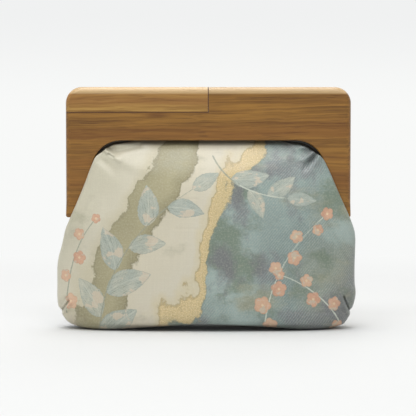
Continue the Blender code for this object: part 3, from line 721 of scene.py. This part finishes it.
def along_stem(stem, places, length, width, spread, first=1, off=0.0):
    """Leaves or blossoms at shares of a stem's length, turned out by spread degrees to either side in turn, a little
    smaller towards its end. The one at the very end goes straight on."""
    made = []
    for i, t in enumerate(places):
        k = t * (len(stem) - 1)
        x, y = (np.interp(k, range(len(stem)), stem[:, axis]) for axis in (0, 1))
        step = stem[min(int(k) + 1, len(stem) - 1)] - stem[max(int(k) - 1, 0)]
        ahead = math.degrees(math.atan2(step[1], step[0]))
        hand = first * (-1) ** i * (t < 0.99)
        angle = math.radians(ahead + 90 * hand)
        size = (1.0 - 0.34 * t) * (1.0, 0.9, 1.05)[i % 3]
        x, y = x + off * math.cos(angle) * abs(hand), y + off * math.sin(angle) * abs(hand)
        made.append((x, y, ahead + (spread - 8 * (i % 2)) * hand, length * size, width * size, -0.05 * hand))
    return made


def blossom_distances(u, v, blossoms):
    """For five-petalled blossoms (x, y, angle, size): distance past the nearest outline r = size / 2 *
    (0.7 + 0.3 |cos(2.5 a)|^0.6), below 0 inside, with the distance from its middle and a tone of its own."""
    nearest, middle, tone = np.full(u.shape, 1.0), np.full(u.shape, 1.0), np.zeros(u.shape)
    for i, (x, y, angle, size, *_) in enumerate(blossoms):
        dx, dy = u - x * MM, v - y * MM
        r, a = np.hypot(dx, dy), np.arctan2(dy, dx) - math.radians(angle)
        distance = r - 0.5 * size * MM * (0.70 + 0.30 * np.abs(np.cos(2.5 * a)) ** 0.6)
        closer = distance < nearest
        nearest, middle = np.where(closer, distance, nearest), np.where(closer, r, middle)
        tone = np.where(closer, (0.21 + 0.618 * i) % 1.0, tone)
    return nearest, middle, tone


def stem_distances(u, v, stems):
    """Distance to the nearest of the stems, less half its width, which thins towards its end."""
    nearest = np.full(u.shape, 1.0)
    for points in stems:
        for i, ((x0, y0), (x1, y1)) in enumerate(zip(points * MM, points[1:] * MM)):
            dx, dy = x1 - x0, y1 - y0
            t = np.clip(((u - x0) * dx + (v - y0) * dy) / (dx * dx + dy * dy + 1e-12), 0.0, 1.0)
            half = (0.62 - 0.34 * (i + t) / len(points)) * MM
            nearest = np.minimum(nearest, np.hypot(u - x0 - t * dx, v - y0 - t * dy) - half)
    return nearest


# The print, in millimetres on the flat cloth: x from the middle, y up from the foot
FRONT_LEAFY = [stem_points((-98, -8), (-106, 92), (-14, 150)), stem_points((4, 182), (18, 146), (70, 142))]
FRONT_FLOWERING = [
    stem_points((50, -6), (42, 76), (106, 128)),
    stem_points((134, 12), (104, 62), (63, 74)),
    stem_points((-130, 40), (-128, 92), (-100, 124)),
]
FRONT_LEAVES = along_stem(FRONT_LEAFY[0], (0.12, 0.24, 0.36, 0.48, 0.61, 0.74, 0.87, 1.0), 47, 24, 50, -1)
FRONT_LEAVES += along_stem(FRONT_LEAFY[1], (0.38, 0.62, 0.82, 1.0), 40, 19, 48)
BLOSSOM_PLACES = (0.12, 0.23, 0.34, 0.46, 0.57, 0.68, 0.79, 0.9, 1.0)
FRONT_BLOSSOMS = along_stem(FRONT_FLOWERING[0], BLOSSOM_PLACES, 17.0, 0.0, 62, 1, 5.0)
FRONT_BLOSSOMS += along_stem(FRONT_FLOWERING[1], (0.2, 0.38, 0.56, 0.72, 1.0), 16.0, 0.0, 66, 1, 5.0)
FRONT_BLOSSOMS += along_stem(FRONT_FLOWERING[2], (0.1, 0.32, 0.54, 0.76, 1.0), 15.0, 0.0, 64, -1, 4.5)
BACK_LEAFY = [stem_points((74, -8), (98, 76), (28, 140)), stem_points((-96, 166), (-66, 134), (-16, 134))]
BACK_FLOWERING = [stem_points((-18, -4), (-40, 66), (-108, 92)), stem_points((128, 52), (118, 96), (92, 126))]
BACK_LEAVES = along_stem(BACK_LEAFY[0], (0.14, 0.27, 0.40, 0.53, 0.66, 0.82, 1.0), 46, 23, 50)
BACK_LEAVES += along_stem(BACK_LEAFY[1], (0.4, 0.62, 0.82, 1.0), 38, 18, 48, -1)
BACK_BLOSSOMS = along_stem(BACK_FLOWERING[0], BLOSSOM_PLACES, 17.0, 0.0, 62, -1, 5.0)
BACK_BLOSSOMS += along_stem(BACK_FLOWERING[1], (0.25, 0.45, 0.65, 0.85, 1.0), 15.0, 0.0, 64, 1, 4.5)


def stored(tree, name):
    """A number that the mesh holds for each of its points."""
    return shade(tree, "Attribute", attribute_name=name).outputs["Fac"]


# The washes across the cloth: a place from 0 to 1, then red, green and blue
WASHES = [
    (0.000, 188, 184, 162), (0.150, 203, 198, 178), (0.196, 196, 189, 163), (0.200, 134, 128, 98),
    (0.206, 156, 150, 118), (0.300, 168, 161, 128), (0.352, 150, 144, 112), (0.356, 126, 120, 92),
    (0.361, 206, 199, 177), (0.450, 208, 202, 183), (0.478, 206, 196, 166), (0.482, 158, 140, 98),
    (0.487, 208, 188, 142), (0.522, 198, 180, 134), (0.526, 104, 116, 108), (0.532, 132, 148, 142),
    (0.640, 142, 158, 153), (0.800, 122, 138, 134), (0.910, 138, 146, 134), (1.000, 122, 126, 120),
]


def printed_sateen():
    """Soft washes of colour with ragged edges, under pale leaves, coral blossoms and thin stems."""
    material, tree, shader = new_finish("printed_sateen")
    flat = shade(tree, "UVMap", uv_map="flat_cloth").outputs[0]

    def cloud(scale, offset, detail=5.0, roughness=0.6):
        """Soft clouds over the flat cloth."""
        place = stretched(tree, flat, (*scale, 1.0), (*offset, 0.0))
        return noise(tree, place, detail=detail, roughness=roughness)

    def over(colour, share, *rgb):
        """A thin coat of paint over a colour."""
        return mixed(tree, share, colour, paint(*rgb))

    loose = drift(tree, flat, (13.0, 9.0, 1.0), (0.105, 0.105, 0.105), detail=3.0)
    ragged = drift(tree, flat, (70.0, 55.0, 1.0), (0.020, 0.020, 0.020), detail=7.0, roughness=0.68)
    place = vectors(tree, "ADD", vectors(tree, "ADD", flat, loose), ragged)
    slope = vectors(tree, "DOT_PRODUCT", place, (1.0, -0.42, 0.0), "Value")
    along = shade(tree, "MapRange", {"Value": slope, "From Min": -0.19, "From Max": 0.10}).outputs["Result"]
    washes = shade(tree, "ValToRGB", {"Fac": along})
    ramp = washes.color_ramp.elements
    for element, (position, *rgb) in zip(ramp, (WASHES[0], WASHES[-1])):
        element.position, element.color = position, paint(*rgb)
    for position, *rgb in WASHES[1:-1]:
        ramp.new(position).color = paint(*rgb)
    colour = washes.outputs["Color"]
    # Gilt flecks in the golden band
    gilt = times(tree, between(tree, along, 0.480, 0.486), between(tree, along, 0.530, 0.524))
    flecks = noise(tree, flat, scale=900.0, detail=3.0, roughness=0.7)
    colour = over(colour, times(tree, between(tree, flecks, 0.52, 0.66, 0.0, 0.75), gilt), 232, 212, 164)
    colour = over(colour, times(tree, between(tree, flecks, 0.48, 0.36, 0.0, 0.6), gilt), 166, 142, 98)
    # Mist, moss, pools and fine hatching on the blue side, then sage and blush over everything
    water = between(tree, along, 0.520, 0.532)
    pools = cloud((19.0, 14.0), (2.3, 5.1), 6.0, 0.62)
    moss = cloud((16.0, 21.0), (5.2, 3.4), 6.0, 0.62)
    mist = cloud((14.0, 18.0), (9.1, 6.3))
    for patch, low, high, *rgb in (
        (mist, 0.50, 0.66, 160, 177, 172),
        (moss, 0.49, 0.62, 108, 124, 106),
        (pools, 0.50, 0.62, 112, 113, 117),
    ):
        colour = over(colour, times(tree, between(tree, patch, low, high, 0.0, 0.8), water), *rgb)
    hatch = vectors(tree, "DOT_PRODUCT", flat, (2500.0, -2050.0, 0.0), "Value")
    hatch = between(tree, maths(tree, "SINE", linear(tree, mist, 14.0, hatch)), 0.1, 0.8)
    hatch = times(tree, times(tree, hatch, between(tree, moss, 0.44, 0.56, 0.30, 0.0)), water)
    colour = over(colour, hatch, 166, 186, 184)
    sage = between(tree, cloud((17.0, 26.0), (7.7, 1.9)), 0.55, 0.70)
    colour = over(colour, times(tree, sage, 0.55), 158, 156, 132)
    blush = between(tree, cloud((11.0, 15.0), (0.7, 8.9), 4.0), 0.57, 0.72)
    colour = over(colour, times(tree, blush, 0.5), 196, 184, 166)
    # Leaves: brushed across their length, bare in places, with a midrib, side veins and a darker rim
    rough_edge = noise(tree, flat, scale=420.0, detail=4.0, roughness=0.6)
    cloudy = noise(tree, flat, scale=95.0, detail=4.0)
    leaf = linear(tree, rough_edge, 2.4 * MM, maths(tree, "SUBTRACT", stored(tree, "leaf_edge"), 1.2 * MM))
    tone = stored(tree, "leaf_tone")
    along_leaf, across_leaf = stored(tree, "leaf_along"), stored(tree, "leaf_across")
    green = mixed(tree, tone, paint(170, 180, 172), paint(188, 189, 173))
    green = over(green, between(tree, cloudy, 0.42, 0.66, 0.0, 0.5), 152, 167, 163)
    strokes = shade(tree, "CombineXYZ", {"X": times(tree, along_leaf, 5.0), "Z": tone}).outputs[0]
    strokes = stretched(tree, vectors(tree, "ADD", strokes, across_leaf), (1.0, 110.0, 20.0))
    strokes = noise(tree, strokes, detail=3.0, roughness=0.6)
    green = over(green, between(tree, strokes, 0.50, 0.62, 0.0, 0.75), 124, 135, 124)
    bare = cloud((60.0, 75.0), (1.7, 4.4))
    green = over(green, between(tree, bare, 0.555, 0.575, 0.0, 0.85), 206, 192, 170)
    side = maths(tree, "ABSOLUTE", across_leaf)
    vein = maths(tree, "SINE", times(tree, linear(tree, side, -0.9, along_leaf), 46.0))
    vein = between(tree, maths(tree, "ABSOLUTE", vein), 0.30, 0.08)
    vein = maths(tree, "MAXIMUM", vein, between(tree, side, 0.020, 0.008))
    green = over(green, times(tree, vein, 0.34), 206, 210, 196)
    green = over(green, between(tree, leaf, -1.4 * MM, -0.3 * MM, 0.0, 0.45), 140, 150, 142)
    colour = mixed(tree, between(tree, leaf, 0.15 * MM, -0.15 * MM, 0.0, 0.9), colour, green)
    # Stems, paler on the blue side
    stem = linear(tree, rough_edge, 0.9 * MM, maths(tree, "SUBTRACT", stored(tree, "stem_edge"), 0.6 * MM))
    stem_colour = mixed(tree, water, paint(146, 151, 134), paint(200, 206, 192))
    colour = mixed(tree, between(tree, stem, 0.15 * MM, -0.2 * MM, 0.0, 0.85), colour, stem_colour)
    # Blossoms: daubed coral petals with a darker rim and a pale middle
    petals = linear(tree, rough_edge, 1.6 * MM, maths(tree, "SUBTRACT", stored(tree, "blossom_edge"), 0.8 * MM))
    coral = mixed(tree, stored(tree, "blossom_tone"), paint(205, 158, 130), paint(214, 180, 150))
    coral = over(coral, between(tree, cloudy, 0.45, 0.62, 0.0, 0.5), 192, 142, 116)
    daub = noise(tree, flat, scale=150.0, detail=3.0)
    coral = over(coral, between(tree, daub, 0.57, 0.60, 0.0, 0.6), 190, 190, 172)
    coral = over(coral, between(tree, petals, -1.2 * MM, -0.1 * MM, 0.0, 0.4), 178, 132, 108)
    heart = between(tree, stored(tree, "blossom_middle"), 1.5 * MM, 0.8 * MM, 0.0, 0.7)
    coral = over(coral, heart, 226, 206, 168)
    colour = mixed(tree, between(tree, petals, 0.2 * MM, -0.2 * MM, 0.0, 0.92), colour, coral)
    # The cloth itself: a bleached grain, the weave, and painted shade where it is tucked in or under the base
    grains = noise(tree, flat, scale=650.0, detail=3.0)
    colour = over(colour, between(tree, grains, 0.40, 0.75, 0.0, 0.16), 226, 220, 200)
    threads = shade(tree, "Group", {"Vector": flat, "Thread": 0.38 * MM}, node_tree=weave).outputs
    shadow = mixed(tree, 1.0, colour, (0.935, 0.93, 0.925, 1.0), "MULTIPLY")
    colour = mixed(tree, between(tree, threads["Tone"], 0.35, 0.80), shadow, colour)
    # Painted shade: the colour darkened almost to black
    painted_shade_colour = mixed(tree, 1.0, colour, (0.13, 0.10, 0.07, 1.0), "MULTIPLY")
    inputs = {
        "Base Color": mixed(tree, stored(tree, "painted_shade"), colour, painted_shade_colour),
        "Roughness": linear(tree, threads["Tone"], 0.16, 0.30),
        "Sheen Weight": 0.12,
        "Sheen Roughness": 0.4,
        "Normal": bump(tree, threads["Height"], 0.16, 0.08 * MM),
    }
    fill(tree, shader, inputs)
    return material


def cloth_panel(name, node, word, points, material):
    """A panel of cloth from its front surface, in its half of the frame. The back one is the same surface
    seen the other way round."""
    back = word == "back"
    if back:
        points = points * np.array([1.0, -1.0, 1.0])
    along, down = flat_lengths(points)
    foot = down[-1] - np.linalg.norm(points[-1, points.shape[1] // 2, 1])
    mesh, faces = sheet_mesh(name, points, flip=back)
    up = np.repeat((foot - down)[:, None], points.shape[1], axis=1)
    flat = np.stack([-along if back else along, up], axis=-1).reshape(-1, 2)
    layer = mesh.uv_layers.new(name="flat_cloth")
    layer.data.foreach_set("uv", flat[faces.reshape(-1)].reshape(-1).astype(np.float32))
    mesh.materials.append(material)
    piece = add_object(name, mesh)
    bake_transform(piece)
    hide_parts(node)
    return piece, flat


def store(mesh, name, values):
    """A number for each point of the mesh, for the material to read."""
    mesh.attributes.new(name, "FLOAT", "POINT").data.foreach_set("value", values.astype(np.float32))


sateen = printed_sateen()
outer_points = pouch_surface(0.0, (3, 42, 46, 24, 76, 28, 10), 174, 34)
for word, stems, leaves, blossoms in (
    ("front", FRONT_LEAFY + FRONT_FLOWERING, FRONT_LEAVES, FRONT_BLOSSOMS),
    ("back", BACK_LEAFY + BACK_FLOWERING, BACK_LEAVES, BACK_BLOSSOMS),
):
    panel, flat = cloth_panel(
        f"pouch_cloth_{word}", f"outer_{word}_panel", word, outer_points, sateen
    )
    u, v = flat[:, 0], flat[:, 1]
    labels = ("leaf_edge", "leaf_along", "leaf_across", "leaf_tone", "blossom_edge", "blossom_middle", "blossom_tone")
    for label, values in zip(labels, leaf_distances(u, v, leaves) + blossom_distances(u, v, blossoms)):
        store(panel.data, label, values)
    store(panel.data, "stem_edge", stem_distances(u, v, stems))
    # Painted shade: under the bar, in the hollows at the upper corners, and under the arch of the base
    spots = np.abs(outer_points.reshape(-1, 3))
    shade_behind_bar = smoothstep(BAR_UNDERSIDE - 5.4 * MM, BAR_UNDERSIDE - 1.6 * MM, spots[:, 2])
    shade_in_void = corner_void(outer_points[..., 0], outer_points[..., 2]).reshape(-1)
    shade_under_base = 0.6 * smoothstep(7.0 * MM, 4.0 * MM, spots[:, 2])
    shade_under_base *= smoothstep(110.0 * MM, 60.0 * MM, spots[:, 0])
    store(panel.data, "painted_shade", np.maximum.reduce([0.85 * shade_behind_bar, shade_in_void, shade_under_base]))


# Lining
# A plain cream cotton lining, cut to the same pattern a little smaller, sewn in at the same seams and glued
# in the groove behind the outer cloth.


def lining_cotton():
    """Undyed plain-weave cotton with slightly uneven threads."""
    material, tree, shader = new_finish("lining_cotton")
    flat = shade(tree, "UVMap", uv_map="flat_cloth").outputs[0]
    threads = shade(tree, "Group", {"Vector": flat, "Thread": 0.5 * MM}, node_tree=weave).outputs
    clouds = noise(tree, flat, scale=28.0, detail=4.0)
    colour = mixed(tree, between(tree, clouds, 0.35, 0.7), paint(205, 196, 172), paint(192, 182, 156))
    shadow = mixed(tree, 1.0, colour, (0.80, 0.78, 0.74, 1.0), "MULTIPLY")
    colour = mixed(tree, between(tree, threads["Tone"], 0.30, 0.80), shadow, colour)
    normal = bump(tree, threads["Height"], 0.4, 0.18 * MM)
    fill(tree, shader, {"Base Color": colour, "Roughness": 0.8, "Sheen Weight": 0.1, "Normal": normal})
    return material


cotton = lining_cotton()
lining_points = pouch_surface(2.6 * MM, (3, 24, 24, 16, 40, 12, 6), 76, 18)
for word in ("front", "back"):
    cloth_panel(f"lining_cloth_{word}", f"lining_{word}_panel", word, lining_points, cotton)


# Room
# A pale floor that runs out into a plain pale background, a large soft lamp straight above, one higher up in
# front, a weak one behind, and a camera a little above the middle of the bag.

PALE = paint(248, 249, 248)
DIMMER = paint(240, 241, 241)
LAMP_AIM = Vector((0.0, 0.0, 0.1))


def seen_share(tree):
    """1 where the camera looks, straight or by a reflection, and 0 where only light is gathered."""
    path = shade(tree, "LightPath").outputs
    seen = maths(tree, "MAXIMUM", path["Is Camera Ray"], path["Is Glossy Ray"])
    return maths(tree, "MAXIMUM", seen, path["Is Transmission Ray"])


floor_mesh = bpy.data.meshes.new("floor")
corners = [(-6, -6), (6, -6), (6, 6), (-6, 6)]
floor_mesh.from_pydata([(x, y, -0.3 * MM) for x, y in corners], [], [(0, 1, 2, 3)])
floor = add_object("floor", floor_mesh)
floor_paint, tree, shader = new_finish("floor_paint")
floor_grey = (0.625, 0.63, 0.625, 1.0)
fill(tree, shader, {"Base Color": floor_grey, "Roughness": 0.9, "Specular IOR Level": 0.1})
away = vectors(tree, "LENGTH", shade(tree, "TexCoord").outputs["Object"], output="Value")
far = times(tree, between(tree, away, 0.35, 0.8), seen_share(tree))
glow = shade(tree, "Emission", {"Color": PALE, "Strength": 1.0}).outputs[0]
both = shade(tree, "MixShader", {0: far, 1: shader.outputs[0], 2: glow}).outputs[0]
tree.links.new(both, tree.nodes["Material Output"].inputs["Surface"])
floor_mesh.materials.append(floor_paint)

world = bpy.data.worlds.new("pale_room")
bpy.context.scene.world = world
world.use_nodes = True
tree = world.node_tree
ambient = shade(tree, "Background", {"Color": (1.0, 1.0, 1.0, 1.0), "Strength": 0.52}).outputs[0]
up = shade(tree, "SeparateXYZ", {0: shade(tree, "TexCoord").outputs["Generated"]}).outputs["Z"]
wall = mixed(tree, between(tree, up, -0.01, 0.05), PALE, DIMMER)
backdrop = shade(tree, "Background", {"Color": wall, "Strength": 1.0}).outputs[0]
both = shade(tree, "MixShader", {0: seen_share(tree), 1: ambient, 2: backdrop}).outputs[0]
tree.links.new(both, tree.nodes["World Output"].inputs["Surface"])

# Each lamp's place, its width and height, and its power in watts
for name, place, size, power in (
    ("key_lamp", (-0.15, 0.10, 2.3), (1.6, 1.3), 38),
    ("upper_front_lamp", (-0.25, -1.25, 1.95), (2.0, 0.75), 21),
    ("back_lamp", (0.5, 2.0, 1.6), (1.4, 1.4), 9),
):
    panel_light = bpy.data.lights.new(name, "AREA")
    panel_light.shape = "RECTANGLE"
    panel_light.size, panel_light.size_y = size
    panel_light.energy = power
    lamp = add_object(name, panel_light)
    lamp.location = place
    lamp.rotation_euler = (LAMP_AIM - Vector(place)).to_track_quat("-Z", "Y").to_euler()

target, distance, tilt = Vector((-0.0003, -0.012, 0.1089)), 1.6, math.radians(3.5)
camera_data = bpy.data.cameras.new("camera")
camera_data.sensor_width = 36.0
camera_data.lens = 154.7
camera = add_object("camera", camera_data)
camera.location = target + distance * Vector((0, -math.cos(tilt), math.sin(tilt)))
camera.rotation_euler = (math.pi / 2 - tilt, 0, 0)
bpy.context.scene.camera = camera

bpy.context.scene.view_settings.view_transform = "Standard"
